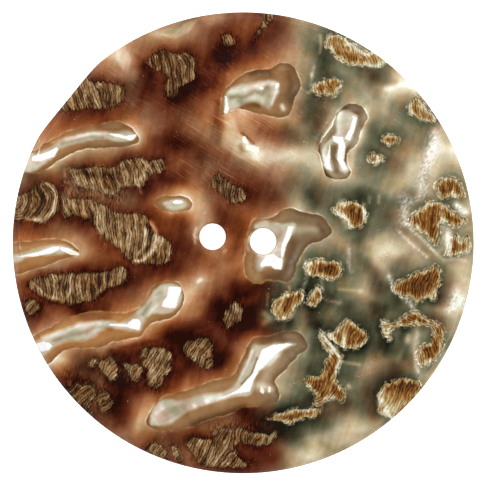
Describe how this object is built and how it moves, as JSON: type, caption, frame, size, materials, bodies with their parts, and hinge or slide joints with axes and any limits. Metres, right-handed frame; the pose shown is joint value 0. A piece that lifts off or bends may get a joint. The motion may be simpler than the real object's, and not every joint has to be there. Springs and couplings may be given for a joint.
{
  "type": "sew-on button",
  "caption": "Large round sew-through button cut from natural shell, with two sewing holes through a gently wavy polished front and a flat back.",
  "frame": {"origin": "centre of the button's round outline, on its flat back face", "axes": "+Z out of the coloured front, +X along the line of the two sewing holes, +Y across it"},
  "size_m": [0.038, 0.038, 0.0036],
  "materials": {
    "nacre": "polished mother-of-pearl",
    "amber": "polished, slightly translucent",
    "outer_shell": "polished natural shell",
    "crust": "rough, unpolished growth ridges"
  },
  "bodies": {
    "root": {"amber_layer": "amber", "crust_arch_right": "crust", "crust_bar_left": "crust", "crust_bar_lower_left": "crust", "crust_block_lower_left": "crust", "crust_block_middle": "crust", "crust_block_right": "crust", "crust_chain_lower_left_1": "crust", "crust_chain_lower_left_2": "crust", "crust_chain_lower_left_3": "crust", "crust_chain_lower_right": "crust", "crust_diagonal_left": "crust", "crust_fleck_left": "crust", "crust_fleck_right_1": "crust", "crust_fleck_right_2": "crust", "crust_fleck_top": "crust", "crust_hook_upper_left": "crust", "crust_lobe_right": "crust", "crust_pair_right": "crust", "crust_rim_bottom_1": "crust", "crust_rim_bottom_2": "crust", "crust_rim_bottom_3": "crust", "crust_rim_left": "crust", "crust_rim_lower_left": "crust", "crust_rim_lower_right": "crust", "crust_rim_right": "crust", "crust_rim_right_upper": "crust", "crust_rim_upper_left": "crust", "crust_rim_upper_right": "crust", "crust_round_right": "crust", "crust_sliver_top_rim": "crust", "crust_spot_above_holes": "crust", "crust_spot_below_holes": "crust", "crust_spot_lower_left": "crust", "crust_spot_lower_middle": "crust", "crust_spot_right": "crust", "crust_spot_upper_right": "crust", "crust_strip_right": "crust", "crust_wedge_right": "crust", "crust_wedge_right_lower": "crust", "nacre_body": "nacre", "outer_layer": "outer_shell"}
  },
  "joints": []
}
